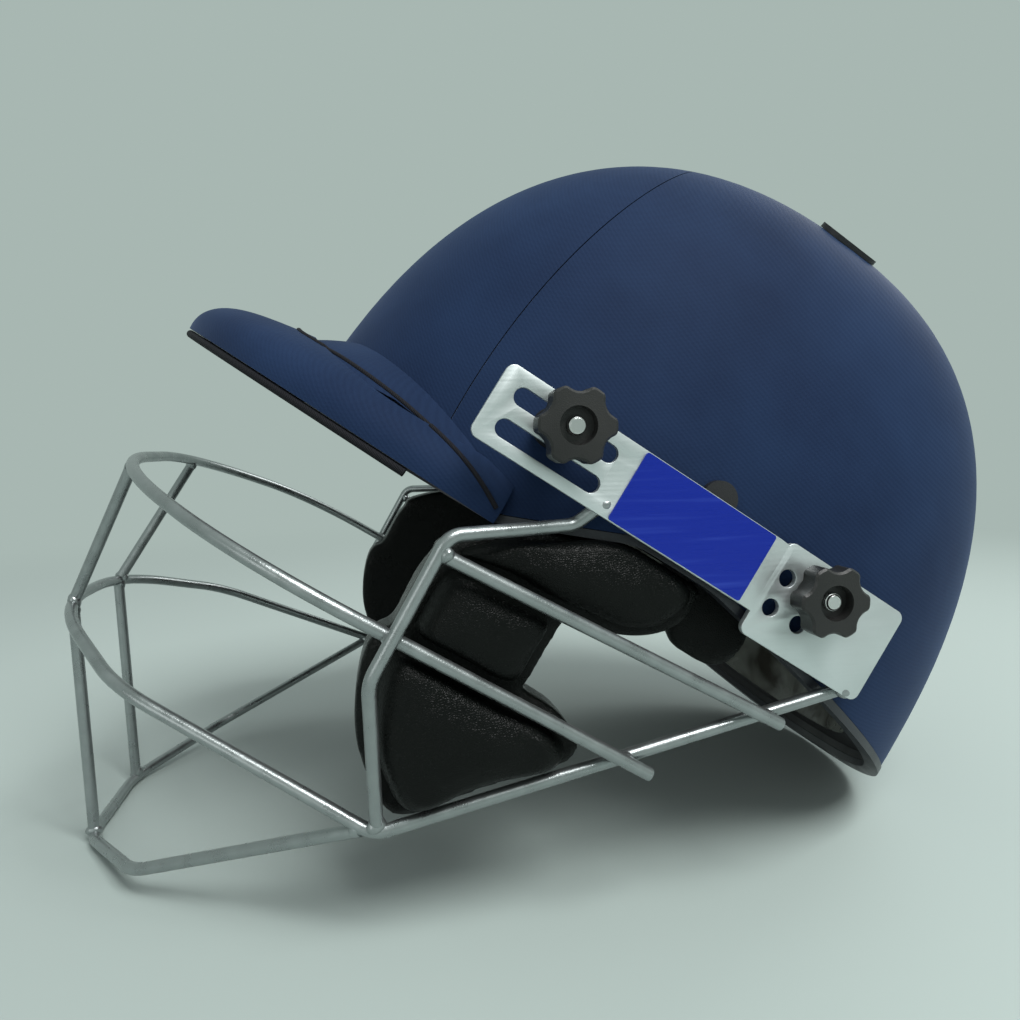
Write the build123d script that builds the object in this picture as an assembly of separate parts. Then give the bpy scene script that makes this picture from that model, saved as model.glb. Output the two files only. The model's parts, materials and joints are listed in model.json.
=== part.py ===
from build123d import *
import math
import os
from functools import lru_cache

os.makedirs("parts", exist_ok=True)

# Cricket helmet: a cloth covered hard shell with a padded peak, and a welded wire face guard
# that hangs on a flat steel plate at each side, held by two bolts and star knobs a side.
# Lengths are millimetres. The pieces are drawn as the helmet is worn: x to the wearer's left,
# y to the rear from the middle of the dome, z up from the level of the peak's edge.
# At the end everything is turned nose up, so that it rests on the guard's foot and the nape.

# Dome of the shell, measured over the cloth
dome_front = 139.0
dome_rear = 124.0
dome_half_width = 104.5
dome_height = 163.5
dome_rise_power = 2.42
dome_plan_power = 2.3
dome_skirt = 34.0
ring_point_count = 32
ring_start_share = 0.25
ring_size_shares = (1.0, 0.985, 0.95, 0.89, 0.8, 0.68, 0.52, 0.34, 0.17, 0.06)

# Layers of the shell, from the outside in
cloth_thickness = 0.9
layer_gap = 0.2
shell_wall = 3.4
liner_thickness = 10.0
lining_thickness = 1.2
pad_thickness = 6.5
pad_gap = 0.3
liner_split_gap = 0.6

# Lower rim of the shell, seen from the side
temple_y = -71.0
ear_front_y = -34.0
ear_rear_y = -8.0
ear_rise = 15.5
nape_drop = 10.0
rim_front_radius = 14.0
rim_ear_radius = 22.0
rim_rear_radius = 40.0
rim_overrun = 90.0
binding_height = 2.6
binding_proud = 0.35
liner_rim_gap = 3.0

# Cross seam of the cloth cover
seam_rim_y = -93.0
seam_bow_y = -86.0
seam_crown_y = -52.0
seam_bow_z = 92.0
seam_gap = 0.3

# Brow band and peak
brow_front = 91.0
brow_half_width = 96.5
brow_height = 44.0
brow_rise_power = 1.84
brow_plan_power = 2.65
brow_edge_points = ((-170.0, 9.0), (-140.0, 13.0), (-121.0, 15.2), (-110.8, 15.6), (-99.2, 13.9),
                    (-87.6, 11.2), (-78.5, 7.3), (-71.0, 3.4), (-66.0, 1.5))
brow_back = 40.0
peak_front = 115.0
peak_half_width = 98.5
peak_height = 24.0
peak_rise_power = 3.0
peak_plan_power = 2.0
peak_tilt = 1.7
peak_back = 60.0
peak_skirt = 8.0
peak_ring_count = 7
peak_board_wall = 3.0
peak_cover_thickness = 1.6
peak_groove = 0.9
piping_diameter = 2.6
piping_start_angle = 14.0

# Pads inside the shell
brow_pad_low = 9.0
brow_pad_high = 38.0
brow_pad_rear_y = -48.0
crown_pad_radius = 42.0
nape_pad_low = 20.0
nape_pad_high = 50.0
nape_pad_front_y = 52.0
side_pad_front_y = -7.5
side_pad_rear_y = 18.0
side_pad_low = -3.0
side_pad_high = 34.0
side_pad_corner = 9.0
rear_lining_front_y = 22.0
rear_lining_high = 44.0

# Vent eyelets
vent_x = 50.0
vent_y = -4.0
vent_length = 24.0
vent_width = 13.0
vent_hole_length = 14.5
vent_hole_width = 5.6
vent_height = 1.5
vent_shell_margin = 0.5
vent_cut_depth = 20.0

# Strap stud behind each side plate
stud_y = -20.5
stud_z = 38.6
stud_radius = 5.4
stud_height = 2.0
stud_shank_radius = 2.4

# Side plate: a slotted strip that widens behind a small joggle
plate_thickness = 2.0
plate_inner_x = 107.6
plate_front_y = -91.0
plate_rear_y = 45.8
strip_low = 16.5
strip_high = 38.0
wide_low = 10.0
wide_high = 39.4
wide_start_y = 2.5
joggle = 1.0
joggle_run = 3.5
plate_corner_radius = 2.5
slot_width = 5.1
slot_front_y = -86.0
slot_rear_y = -53.7
upper_slot_z = 31.7
lower_slot_z = 22.4
hole_radius = 2.6
hole_front_y = 7.4
hole_pitch_y = 10.0
hole_pitch_z = 9.5
upper_hole_z = 29.8

# Label plate
label_thickness = 0.6
label_front_y = -47.5
label_rear_y = -2.8
label_margin = 0.3
label_corner_radius = 0.8

# Bolts, washers, spacers and knobs
bolt_radius = 2.4
bolt_hole_radius = 2.6
front_bolt_y = -69.5
bolt_head_radius = 5.5
bolt_head_height = 2.2
bolt_head_gap = 3.0
bolt_pocket_radius = 6.6
bolt_pocket_depth = 7.5
bolt_tip_depth = 1.2
bolt_tip_chamfer = 0.6
washer_radius = 5.6
washer_thickness = 1.0
running_gap = 0.05
spacer_radius = 6.0
spacer_gap = 0.15
knob_radius = 10.3
knob_scallop_radius = 4.6
knob_scallop_centre = 13.0
knob_lobes = 6
knob_boss_radius = 6.6
knob_boss_height = 2.8
knob_height = 6.9
knob_lobe_radius = 1.6
knob_edge = 0.6
knob_recess_radius = 4.9
knob_recess_depth = 3.4

# Wires of the face guard
wire_diameter = 3.8
weld_sink = 0.25
path_samples = 2000
rail_corner_x = 104.6
rail_corner_y = -56.0
rail_corner_z = -87.0
rail_corner_radius = 10.0
rail_end_y = 44.5
rail_end_z = 13.5

# Top bar, which runs back past the side frame and ends on the rail
top_front_y = -175.3
top_front_z = -44.0
top_corner_x = 51.0
top_corner_radius = 112.0
top_side_x = 112.0
top_side_y = -124.0
top_side_z = -38.8
top_side_radius = 66.0
top_end_y = 2.0
top_end_z = -37.0

# Middle bar, which turns up at each corner into the rail
middle_front_y = -169.8
middle_front_z = -98.3
middle_corner_x = 30.5
middle_corner_radius = 76.0
middle_side_x = 77.0
middle_side_y = -135.5
middle_side_z = -94.4
middle_side_radius = 40.0

# Bottom bar, a flat hoop that slopes down to the front
bottom_front_y = -121.9
bottom_front_z = -167.1
bottom_corner_x = 24.3
bottom_corner_radius = 28.0
bottom_side_x = 61.6
bottom_side_y = -104.2
bottom_side_z = -148.8
bottom_side_radius = 26.0
bottom_end_x = 100.5
bottom_end_y = -57.0
bottom_end_z = -89.5

# Struts between the bars
strut_top_x = 43.8
strut_foot_x = 24.0

# Side frames
frame_end_y = -49.5
frame_end_z = 20.0
frame_bend_y = -53.0
frame_bend_z = 11.0
frame_bend_radius = 6.0
frame_bend_x = 104.5
frame_corner_y = -82.0
frame_corner_z = -8.3
frame_corner_radius = 6.0
frame_knee_y = -79.9
frame_knee_z = -50.2
frame_knee_radius = 12.0
frame_foot_y = -57.8
frame_foot_z = -82.3

# Cheek bars, from the side frame's corner back to the rail
cheek_bar_front_z = -13.3
cheek_bar_end_y = 29.0
cheek_bar_end_z = -6.4

# Cheek pads: a base behind the wires and three cushions between them
cheek_base_inner_x = 84.0
cheek_base_outer_x = 99.6
cheek_base_edge = 4.5
cheek_pad_inner_x = 99.9
cheek_pad_height = 12.0
upper_pad_height = 8.5
upper_pad_rear_y = -10.0
upper_pad_top_z = 15.3
upper_pad_shares = ((0.075, -0.01), (0.22, 0.34), (0.39, 0.6), (0.56, 0.9), (0.8, 0.99), (0.985, 0.82),
                    (0.97, 0.5), (0.86, 0.13), (0.66, 0.02), (0.4, 0.0), (0.2, -0.01))
middle_pad_rear_y = -43.5
middle_pad_shares = ((0.04, 0.1), (0.03, 0.55), (0.07, 0.96), (0.4, 1.0), (0.75, 1.0), (0.97, 0.95),
                     (0.99, 0.55), (0.97, 0.06), (0.7, 0.0), (0.35, 0.0))
lower_pad_rear_y = -20.0
lower_pad_top_shares = (0.3, 0.6, 0.88)
lower_pad_foot_shares = (0.82, 0.6, 0.42)
wire_clearance = 0.5
rail_clearance = 1.0
pad_ring_shares = ((0.0, 0.97), (0.12, 1.0), (0.4, 0.96), (0.7, 0.9), (0.89, 0.76), (1.0, 0.46))

overrun = 400.0
left = 1
right = -1
side_names = {left: "left", right: "right"}

wire_radius = wire_diameter / 2
cross_step = wire_diameter - weld_sink
shell_outset = cloth_thickness + layer_gap
liner_outset = shell_outset + shell_wall + layer_gap
inner_outset = liner_outset + liner_thickness + pad_gap
lining_inset = inner_outset + lining_thickness + pad_gap


def power_curve(share, power):
    return (1 - share ** power) ** (1 / power)


def signed_power(value, power):
    return math.copysign(abs(value) ** power, value)


def oval_ring(front, rear, half_width, size, z, plan_power, centre_y):
    points = []
    for number in range(ring_point_count):
        angle = 2 * math.pi * (number / ring_point_count + ring_start_share)
        across = signed_power(math.cos(angle), 2 / plan_power)
        along = signed_power(math.sin(angle), 2 / plan_power)
        reach = rear if along > 0 else front
        points.append((half_width * size * across, centre_y + reach * size * along, z))
    return Face(Wire(Spline(*points, periodic=True)))


def oval_dome(front, rear, half_width, height, rise_power, plan_power, skirt, centre_y, sizes):
    rings = [oval_ring(front, rear, half_width, 1, -skirt, plan_power, centre_y)]
    for size in sizes:
        z = height * power_curve(size, rise_power)
        rings.append(oval_ring(front, rear, half_width, size, z, plan_power, centre_y))
    return Solid(loft(rings).wrapped)


@lru_cache
def dome(inset):
    return oval_dome(dome_front - inset, dome_rear - inset, dome_half_width - inset,
                     dome_height - inset, dome_rise_power, dome_plan_power, dome_skirt, 0,
                     ring_size_shares)


def dome_x(y, z):
    reach = dome_rear if y > 0 else dome_front
    level = power_curve(z / dome_height, dome_rise_power)
    along = abs(y) / reach / level
    return dome_half_width * level * power_curve(along, dome_plan_power)


def solid_of(shape):
    solids = shape.solids()
    return max(solids, key=lambda piece: piece.volume)


def side_prism(points):
    corners = [(0, y, z) for y, z in points]
    face = Face(Wire(Polyline(*corners, close=True)))
    return extrude(face, amount=overrun, dir=(1, 0, 0), both=True)


def above_rim(lift):
    line = FilletPolyline((0, -dome_front - rim_overrun, lift), (0, temple_y, lift),
                          (0, ear_front_y, ear_rise + lift), (0, ear_rear_y, ear_rise + lift),
                          (0, dome_rear, lift - nape_drop),
                          (0, dome_rear + rim_overrun, lift - nape_drop),
                          radius=[rim_front_radius, rim_ear_radius, rim_rear_radius, rim_rear_radius])
    roof = Polyline((0, dome_rear + rim_overrun, lift - nape_drop),
                    (0, dome_rear + rim_overrun, overrun), (0, -dome_front - rim_overrun, overrun),
                    (0, -dome_front - rim_overrun, lift))
    face = Face(Wire(line.edges() + roof.edges()))
    return extrude(face, amount=overrun, dir=(1, 0, 0), both=True)


def behind_seam(shift):
    seam = ThreePointArc((0, seam_rim_y + shift, 0), (0, seam_bow_y + shift, seam_bow_z),
                         (0, seam_crown_y + shift, dome_height))
    foot = (0, seam_rim_y + shift, -dome_skirt - rim_overrun)
    top = (0, seam_crown_y + shift, dome_height + rim_overrun)
    rest = Polyline((0, seam_crown_y + shift, dome_height), top, (0, overrun, top[2]),
                    (0, overrun, foot[2]), foot, (0, seam_rim_y + shift, 0))
    face = Face(Wire(seam.edges() + rest.edges()))
    return extrude(face, amount=overrun, dir=(1, 0, 0), both=True)


def slab(y_low, y_high, z_low, z_high):
    return side_prism([(y_low, z_low), (y_high, z_low), (y_high, z_high), (y_low, z_high)])


def cross_cylinder(y, z, radius, x_low, x_high):
    plane = Plane(origin=(x_low, y, z), x_dir=(0, 1, 0), z_dir=(1, 0, 0))
    return extrude(plane * Circle(radius), amount=x_high - x_low)


def mirrored(shape, side):
    return shape if side == left else mirror(shape, about=Plane.YZ)


def both_sides(shape):
    return [shape, mirror(shape, about=Plane.YZ)]


# Places worked out from the sizes above
front_bolt_z = upper_slot_z
rear_bolt_y = hole_front_y + hole_pitch_y
rear_bolt_z = upper_hole_z
wide_inner_x = plate_inner_x - joggle
bolt_places = {"front": (front_bolt_y, front_bolt_z, plate_inner_x + plate_thickness),
               "rear": (rear_bolt_y, rear_bolt_z, wide_inner_x + plate_thickness)}


def bolt_holes(radius):
    holes = []
    for y, z, face_x in bolt_places.values():
        holes += both_sides(cross_cylinder(y, z, radius, dome_half_width / 2, face_x))
    return holes


def vent_plane(side):
    rise = dome_height * power_curve((vent_x / dome_half_width), dome_rise_power)
    slope_x = (dome_height / dome_half_width) * signed_power(
        vent_x / dome_half_width, dome_rise_power - 1) * (dome_height / rise) ** (dome_rise_power - 1)
    normal = Vector(side * slope_x, 0, 1).normalized()
    return Plane(origin=(side * vent_x, vent_y, rise), x_dir=(0, 1, 0), z_dir=normal)


def vent_cutter(side, length, width):
    outline = SlotOverall(length, width)
    return extrude(vent_plane(side) * outline, amount=vent_cut_depth, both=True)


def shell_layer(inset_outer, inset_inner):
    layer = dome(inset_outer) - dome(inset_inner)
    return layer & above_rim(binding_height + layer_gap)


def make_cover():
    cover = shell_layer(0, cloth_thickness)
    for hole in bolt_holes(bolt_hole_radius):
        cover -= hole
    stud = cross_cylinder(stud_y, stud_z, stud_shank_radius + layer_gap, 0, dome_half_width)
    for hole in both_sides(stud):
        cover -= hole
    for side in side_names:
        cover -= vent_cutter(side, vent_hole_length, vent_hole_width)
    front = cover - behind_seam(-seam_gap / 2)
    rear = cover & behind_seam(seam_gap / 2)
    return solid_of(front), solid_of(rear)


def make_shell():
    shell = shell_layer(shell_outset, shell_outset + shell_wall)
    for hole in bolt_holes(bolt_hole_radius):
        shell -= hole
    stud = cross_cylinder(stud_y, stud_z, stud_shank_radius + layer_gap, 0, dome_half_width)
    for hole in both_sides(stud):
        shell -= hole
    for side in side_names:
        shell -= vent_cutter(side, vent_hole_length + vent_shell_margin,
                             vent_hole_width + vent_shell_margin)
    return solid_of(shell)


def make_binding():
    band = dome(-binding_proud) - dome(shell_outset + shell_wall + binding_proud / 2)
    return solid_of((band & above_rim(0)) - above_rim(binding_height))


def make_liners():
    liner = dome(liner_outset) - dome(liner_outset + liner_thickness)
    liner = liner & above_rim(binding_height + liner_rim_gap)
    for y, z, face_x in bolt_places.values():
        seat_x = dome_x(y, z) - shell_outset - shell_wall
        pocket = cross_cylinder(y, z, bolt_pocket_radius, seat_x - bolt_pocket_depth, dome_half_width)
        for hole in both_sides(pocket):
            liner -= hole
    front = liner & slab(-overrun, -liner_split_gap / 2, -overrun, overrun)
    rear = liner & slab(liner_split_gap / 2, overrun, -overrun, overrun)
    return solid_of(front), solid_of(rear)


def inner_layer(thickness, inset):
    return dome(inset) - dome(inset + thickness)


def make_rear_lining():
    band = inner_layer(lining_thickness, inner_outset) & above_rim(binding_height + liner_rim_gap)
    return solid_of(band & slab(rear_lining_front_y, overrun, -overrun, rear_lining_high))


def make_brow_pad():
    band = inner_layer(pad_thickness, inner_outset)
    return solid_of(band & slab(-overrun, brow_pad_rear_y, brow_pad_low, brow_pad_high))


def make_nape_pad():
    band = inner_layer(pad_thickness, lining_inset)
    return solid_of(band & slab(nape_pad_front_y, overrun, nape_pad_low, nape_pad_high))


def make_crown_pad():
    disc = extrude(Plane.XY * Circle(crown_pad_radius), amount=overrun)
    return solid_of(inner_layer(pad_thickness, inner_outset) & disc)


def make_side_pad():
    width = side_pad_rear_y - side_pad_front_y
    height = side_pad_high - side_pad_low
    middle = (0, (side_pad_front_y + side_pad_rear_y) / 2, (side_pad_low + side_pad_high) / 2)
    plane = Plane(origin=middle, x_dir=(0, 1, 0), z_dir=(1, 0, 0))
    tile = extrude(plane * RectangleRounded(width, height, side_pad_corner), amount=overrun)
    return solid_of(inner_layer(pad_thickness, inner_outset) & tile)


@lru_cache
def brow_dome(outset):
    return oval_dome(brow_front + outset, brow_back, brow_half_width + outset,
                     brow_height + outset, brow_rise_power, brow_plan_power, peak_skirt, temple_y,
                     ring_size_shares[:peak_ring_count])


def tilted(shape):
    return shape.rotate(Axis((0, temple_y, 0), (-1, 0, 0)), peak_tilt)


def peak_dome(inset):
    return tilted(oval_dome(peak_front - inset, peak_back, peak_half_width - inset,
                            peak_height - inset, peak_rise_power, peak_plan_power, peak_skirt,
                            temple_y, ring_size_shares[:peak_ring_count]))


def ahead_of_temple():
    return slab(-overrun, temple_y, 0, overrun)


def above_brow_edge(drop):
    edge = [(y, z - drop) for y, z in brow_edge_points]
    return side_prism(edge + [(edge[-1][0], overrun), (edge[0][0], overrun)])


def make_brow_band():
    band = (brow_dome(0) - dome(-layer_gap)) & ahead_of_temple()
    band = band & above_brow_edge(0)
    rim = dome(-binding_proud - layer_gap) - above_rim(binding_height + layer_gap)
    return solid_of(band - rim)


def peak_layer(inset, thickness):
    layer = peak_dome(inset) - (brow_dome(peak_groove) & above_brow_edge(peak_groove))
    layer = layer - dome(-layer_gap)
    layer = layer & tilted(ahead_of_temple())
    return solid_of(layer - peak_dome(inset + thickness))


def make_peak_cover():
    return peak_layer(0, peak_cover_thickness)


def make_peak_board():
    return peak_layer(peak_cover_thickness + layer_gap, peak_board_wall)


def make_piping():
    inset = piping_diameter / 2
    arc = EllipticalCenterArc((0, temple_y), peak_half_width - inset, peak_front - inset,
                              start_angle=180 + piping_start_angle,
                              arc_size=180 - 2 * piping_start_angle)
    arc = Pos(0, 0, -inset - layer_gap) * arc
    start = Plane(origin=arc @ 0, z_dir=arc % 0)
    tube = sweep(start * Circle(piping_diameter / 2), path=arc)
    return tilted(Solid(tube.solid().wrapped))


def make_vent(side):
    ring = SlotOverall(vent_length, vent_width) - SlotOverall(vent_hole_length, vent_hole_width)
    body = extrude(vent_plane(side) * ring, amount=vent_height, both=True)
    body = body - dome(-layer_gap / 2)
    return solid_of(body)


def make_stud():
    seat_x = dome_x(stud_y, stud_z)
    head = cross_cylinder(stud_y, stud_z, stud_radius, seat_x, seat_x + stud_height + layer_gap)
    head = head - dome(-layer_gap)
    shank = cross_cylinder(stud_y, stud_z, stud_shank_radius, seat_x - shell_outset - shell_wall,
                           seat_x + stud_height)
    return solid_of(head + shank)


def plate_bar():
    outer_x = plate_inner_x + plate_thickness
    start_y = wide_start_y - joggle_run
    plan = Polyline((plate_inner_x, plate_front_y), (outer_x, plate_front_y), (outer_x, start_y),
                    (outer_x - joggle, wide_start_y), (outer_x - joggle, plate_rear_y),
                    (wide_inner_x, plate_rear_y), (wide_inner_x, wide_start_y),
                    (plate_inner_x, start_y), close=True)
    return extrude(Pos(0, 0, wide_low) * Face(Wire(plan)), amount=wide_high - wide_low)


def slot_cut(z):
    length = slot_rear_y - slot_front_y
    plane = Plane(origin=(0, (slot_rear_y + slot_front_y) / 2, z), x_dir=(0, 1, 0), z_dir=(1, 0, 0))
    return extrude(plane * SlotOverall(length, slot_width), amount=overrun)


def make_side_plate():
    strip_middle = (strip_low + strip_high) / 2
    wide_middle = (wide_low + wide_high) / 2
    strip_plane = Plane(origin=(0, (plate_front_y + plate_rear_y) / 2, strip_middle),
                        x_dir=(0, 1, 0), z_dir=(1, 0, 0))
    wide_plane = Plane(origin=(0, (wide_start_y + plate_rear_y) / 2, wide_middle),
                       x_dir=(0, 1, 0), z_dir=(1, 0, 0))
    strip = RectangleRounded(plate_rear_y - plate_front_y, strip_high - strip_low,
                             plate_corner_radius)
    wide = RectangleRounded(plate_rear_y - wide_start_y, wide_high - wide_low, plate_corner_radius)
    outline = extrude(strip_plane * strip, amount=overrun) + extrude(wide_plane * wide, amount=overrun)
    plate = plate_bar() & outline
    plate -= slot_cut(upper_slot_z)
    plate -= slot_cut(lower_slot_z)
    for column in range(2):
        for row in range(2):
            y = hole_front_y + column * hole_pitch_y
            z = upper_hole_z - row * hole_pitch_z
            plate -= cross_cylinder(y, z, hole_radius, 0, plate_inner_x + overrun)
    return solid_of(plate)


def make_label():
    width = label_rear_y - label_front_y
    height = strip_high - strip_low - 2 * label_margin
    middle = ((label_rear_y + label_front_y) / 2, (strip_low + strip_high) / 2)
    plane = Plane(origin=(plate_inner_x + plate_thickness, middle[0], middle[1]),
                  x_dir=(0, 1, 0), z_dir=(1, 0, 0))
    return extrude(plane * RectangleRounded(width, height, label_corner_radius),
                   amount=label_thickness).solid()


def make_bolt(place):
    y, z, face_x = bolt_places[place]
    seat_x = dome_x(y, z) - shell_outset - shell_wall - bolt_head_gap
    tip_x = face_x + washer_thickness + knob_boss_height + knob_height - bolt_tip_depth
    shank = cross_cylinder(y, z, bolt_radius, seat_x, tip_x)
    shank = chamfer(shank.faces().sort_by(Axis.X)[-1].edges(), bolt_tip_chamfer)
    head = cross_cylinder(y, z, bolt_head_radius, seat_x - bolt_head_height, seat_x)
    return (shank + head).solid()


def make_spacer(place):
    y, z, face_x = bolt_places[place]
    inner_face = face_x - plate_thickness
    body = cross_cylinder(y, z, spacer_radius, dome_x(y, z) - spacer_radius, inner_face)
    body = body - dome(-spacer_gap)
    body -= cross_cylinder(y, z, bolt_hole_radius, 0, face_x)
    return solid_of(body)


def make_washer(place):
    y, z, face_x = bolt_places[place]
    low = face_x + running_gap
    disc = cross_cylinder(y, z, washer_radius, low, face_x + washer_thickness)
    return (disc - cross_cylinder(y, z, bolt_radius + running_gap, 0, overrun)).solid()


def make_knob(place):
    y, z, face_x = bolt_places[place]
    foot = face_x + washer_thickness + running_gap
    low = foot + knob_boss_height
    top = low + knob_height
    body = cross_cylinder(y, z, knob_radius, low, top)
    for number in range(knob_lobes):
        angle = math.radians(number * 360 / knob_lobes)
        scallop_y = y + knob_scallop_centre * math.cos(angle)
        scallop_z = z + knob_scallop_centre * math.sin(angle)
        body -= cross_cylinder(scallop_y, scallop_z, knob_scallop_radius, low, top)
    body = fillet(body.edges().filter_by(Axis.X), knob_lobe_radius)
    body = chamfer(body.faces().sort_by(Axis.X)[-1].edges(), knob_edge)
    body = chamfer(body.faces().sort_by(Axis.X)[0].edges(), knob_edge)
    body += cross_cylinder(y, z, knob_boss_radius, foot, low)
    body -= cross_cylinder(y, z, knob_recess_radius, top - knob_recess_depth, top)
    body -= cross_cylinder(y, z, bolt_radius + running_gap, 0, overrun)
    return body.solid()


def wire_path(points, radii):
    line = FilletPolyline(*points, radius=radii) if radii else Line(*points)
    return Wire(line.edges())


def wire_along(path):
    start = Plane(origin=path @ 0, z_dir=path % 0)
    return sweep(start * Circle(wire_radius), path=path).solid()


def nearest_on(path, target):
    spots = [path @ (number / path_samples) for number in range(path_samples + 1)]
    return min(spots, key=lambda spot: (spot - target).length)


def trimmed_end(spot, neighbour):
    return spot + (neighbour - spot).normalized() * (wire_radius - weld_sink)


def turned_points(half):
    return [(-x, y, z) for x, y, z in half] + list(reversed(half))


# Rail, from the middle bar's corner up to the back of the plate
rail_end_x = wide_inner_x - wire_radius + weld_sink
top_end_x = rail_corner_x + cross_step
cheek_bar_end_x = rail_end_x + cross_step - weld_sink
frame_end_x = plate_inner_x - wire_radius + weld_sink

top_corner = (top_corner_x, top_front_y, top_front_z)
top_side = (top_side_x, top_side_y, top_side_z)
middle_corner = (middle_corner_x, middle_front_y, middle_front_z)
middle_side = (middle_side_x, middle_side_y, middle_side_z)
bottom_corner = (bottom_corner_x, bottom_front_y, bottom_front_z)
bottom_side = (bottom_side_x, bottom_side_y, bottom_side_z)


def top_bar_x(y):
    share = (y - top_side_y) / (top_end_y - top_side_y)
    return top_side_x + share * (top_end_x - top_side_x)


frame_x = top_bar_x(frame_knee_y) + cross_step


@lru_cache
def top_path():
    half = [(top_end_x, top_end_y, top_end_z), top_side, top_corner]
    radii = [top_side_radius, top_corner_radius, top_corner_radius, top_side_radius]
    return wire_path(turned_points(half), radii)


@lru_cache
def middle_path():
    half = [(rail_end_x, rail_end_y, rail_end_z), (rail_corner_x, rail_corner_y, rail_corner_z),
            middle_side, middle_corner]
    radii = [rail_corner_radius, middle_side_radius, middle_corner_radius]
    return wire_path(turned_points(half), radii + list(reversed(radii)))


@lru_cache
def bottom_path():
    joint = nearest_on(middle_path(), Vector(bottom_end_x, bottom_end_y, bottom_end_z))
    end = trimmed_end(joint, Vector(*bottom_side))
    radii = [bottom_side_radius, bottom_corner_radius, bottom_corner_radius, bottom_side_radius]
    return wire_path(turned_points([tuple(end), bottom_side, bottom_corner]), radii)


def make_strut(start, end):
    return wire_along(wire_path([trimmed_end(start, end), trimmed_end(end, start)], []))


def make_struts():
    top = nearest_on(top_path(), Vector(strut_top_x, top_front_y, top_front_z))
    middle = nearest_on(middle_path(), Vector(strut_foot_x, middle_front_y, middle_front_z))
    bottom = nearest_on(bottom_path(), Vector(strut_foot_x, bottom_front_y, bottom_front_z))
    return make_strut(top, middle), make_strut(middle, bottom)


def make_side_frame():
    knee = Vector(frame_x, frame_knee_y, frame_knee_z)
    joint = nearest_on(middle_path(), Vector(rail_corner_x, frame_foot_y, frame_foot_z))
    points = [(frame_end_x, frame_end_y, frame_end_z), (frame_bend_x, frame_bend_y, frame_bend_z),
              (frame_x, frame_corner_y, frame_corner_z), tuple(knee), tuple(trimmed_end(joint, knee))]
    radii = [frame_bend_radius, frame_corner_radius, frame_knee_radius]
    return wire_along(wire_path(points, radii))


def make_cheek_bar():
    front = Vector(frame_x, frame_corner_y, cheek_bar_front_z)
    end = Vector(cheek_bar_end_x, cheek_bar_end_y, cheek_bar_end_z)
    return wire_along(wire_path([trimmed_end(front, end), end], []))


def rail_z(y):
    share = (y - rail_corner_y) / (rail_end_y - rail_corner_y)
    return rail_corner_z + share * (rail_end_z - rail_corner_z)


def top_bar_z(y):
    share = (y - top_side_y) / (top_end_y - top_side_y)
    return top_side_z + share * (top_end_z - top_side_z)


def cheek_bar_z(y):
    share = (y - frame_corner_y) / (cheek_bar_end_y - frame_corner_y)
    return cheek_bar_front_z + share * (cheek_bar_end_z - cheek_bar_front_z)


# Room kept round the wires for the cushions
wire_room = wire_radius + wire_clearance
pad_front_y = frame_knee_y + wire_room
upper_span = upper_pad_rear_y - frame_corner_y


def upper_outline():
    points = []
    for along, up in upper_pad_shares:
        y = frame_corner_y + along * upper_span
        low = cheek_bar_z(y) + wire_room
        points.append((y, low + up * (upper_pad_top_z - low)))
    return points


def middle_outline():
    points = []
    for along, up in middle_pad_shares:
        y = pad_front_y + along * (middle_pad_rear_y - pad_front_y)
        low = top_bar_z(y) + wire_room
        high = cheek_bar_z(y) - wire_room
        points.append((y, low + up * (high - low)))
    return points


def lower_outline():
    top_front = (pad_front_y + wire_radius, top_bar_z(pad_front_y) - wire_room)
    span = lower_pad_rear_y - top_front[0]
    room = (wire_room + rail_clearance) * math.sqrt(2)
    points = [top_front]
    for along in lower_pad_top_shares:
        y = top_front[0] + along * span
        points.append((y, top_bar_z(y) - wire_room))
    points.append((lower_pad_rear_y, (top_bar_z(lower_pad_rear_y) + rail_z(lower_pad_rear_y)) / 2))
    for along in lower_pad_foot_shares:
        y = top_front[0] + along * span
        points.append((y, rail_z(y) + room))
    points.append((frame_foot_y - wire_radius, frame_foot_z + 2 * wire_diameter))
    points.append((pad_front_y + wire_diameter, (top_front[1] + frame_foot_z) / 2 + wire_radius))
    return points


def cushion(outline, inner_x, height):
    middle_y = sum(y for y, z in outline) / len(outline)
    middle_z = sum(z for y, z in outline) / len(outline)
    rings = []
    for rise, size in pad_ring_shares:
        points = []
        for y, z in outline:
            points.append((inner_x + rise * height, middle_y + size * (y - middle_y),
                           middle_z + size * (z - middle_z)))
        rings.append(Face(Wire(Spline(*points, periodic=True))))
    return Solid(loft(rings).wrapped)


def make_upper_cheek_pad():
    pad = cushion(upper_outline(), cheek_pad_inner_x, upper_pad_height)
    rim = dome(-binding_proud - pad_gap) & above_rim(-pad_gap)
    return solid_of(pad - rim)


def make_cheek_base():
    outlines = [upper_outline(), middle_outline(), lower_outline()]
    base = None
    for outline in outlines:
        middle_y = sum(y for y, z in outline) / len(outline)
        middle_z = sum(z for y, z in outline) / len(outline)
        points = []
        for y, z in outline:
            reach = math.hypot(y - middle_y, z - middle_z)
            grow = 1 + cheek_base_edge / reach
            points.append((cheek_base_inner_x, middle_y + grow * (y - middle_y),
                           middle_z + grow * (z - middle_z)))
        tile = extrude(Face(Wire(Spline(*points, periodic=True))), dir=(1, 0, 0),
                       amount=cheek_base_outer_x - cheek_base_inner_x)
        base = tile if base is None else base + tile
    base = base - above_rim(-pad_gap)
    beside_pad = slab(side_pad_front_y - pad_gap, overrun, side_pad_low - pad_gap, overrun)
    return solid_of(base - beside_pad)


def rest_turn():
    rise = -nape_drop - bottom_front_z
    run = dome_rear + binding_proud - bottom_front_y
    return math.atan2(rise, run) + math.asin(wire_radius / math.hypot(rise, run))


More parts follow.
